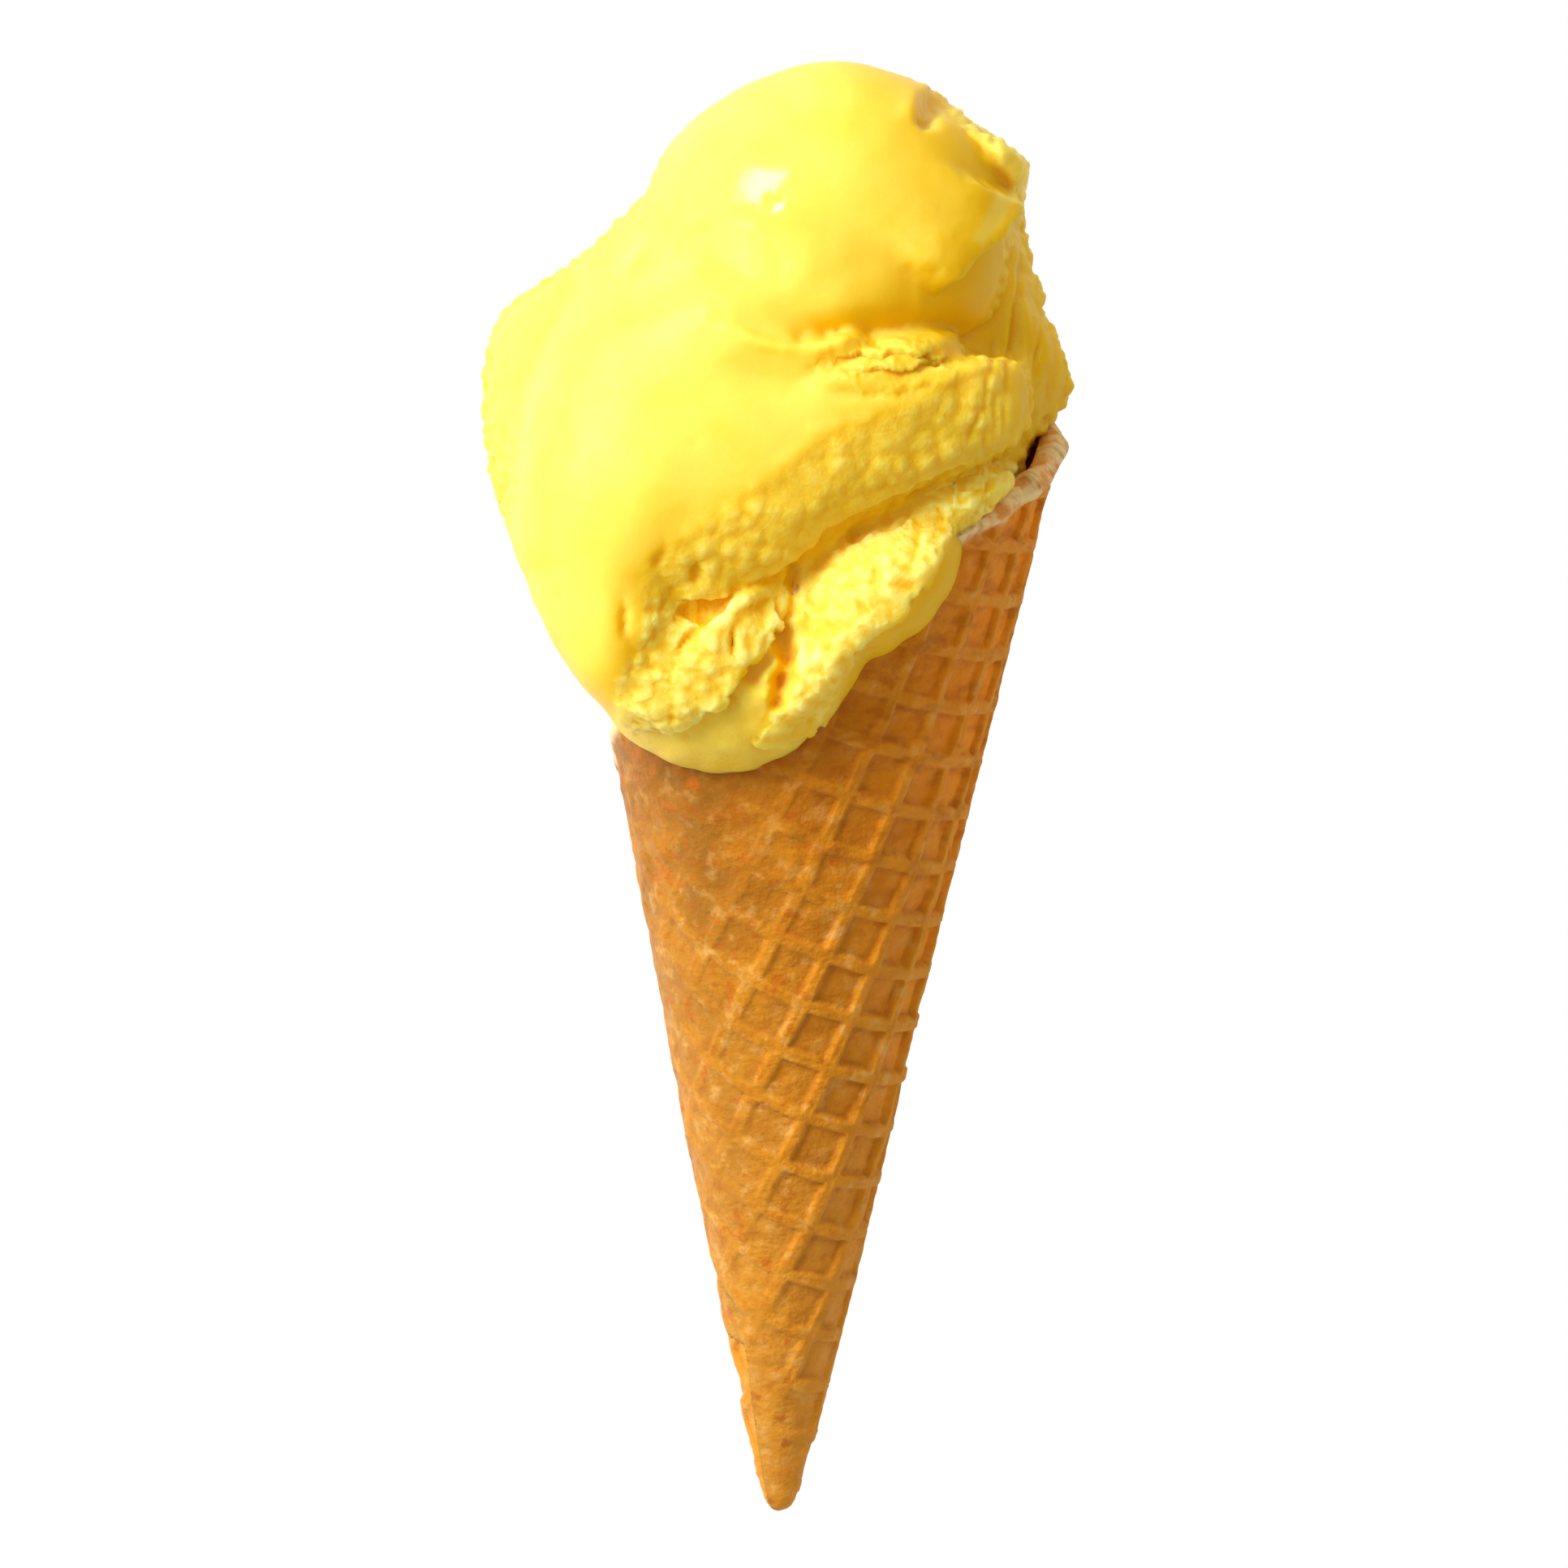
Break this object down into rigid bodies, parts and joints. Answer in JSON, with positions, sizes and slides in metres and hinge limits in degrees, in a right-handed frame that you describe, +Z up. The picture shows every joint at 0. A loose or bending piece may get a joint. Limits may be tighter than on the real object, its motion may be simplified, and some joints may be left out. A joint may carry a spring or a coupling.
{
  "type": "mango sorbet cone",
  "caption": "Rolled waffle cone heaped with mango sorbet: a smooth top ball over a thick slab with a rough torn face and small torn lumps that overhang the rim, lying down.",
  "frame": {"origin": "on the floor, under the middle of the whole as it lies", "axes": "+Z up towards the shown side, +Y along the cone's length from its tip to the sorbet, +X to the right as seen from above"},
  "size_m": [0.0774, 0.1916, 0.074],
  "materials": {
    "waffle": "baked, dry",
    "sorbet": "moist, soft sheen"
  },
  "bodies": {
    "root": {"waffle_cone": "waffle", "sorbet": "sorbet"}
  },
  "joints": []
}
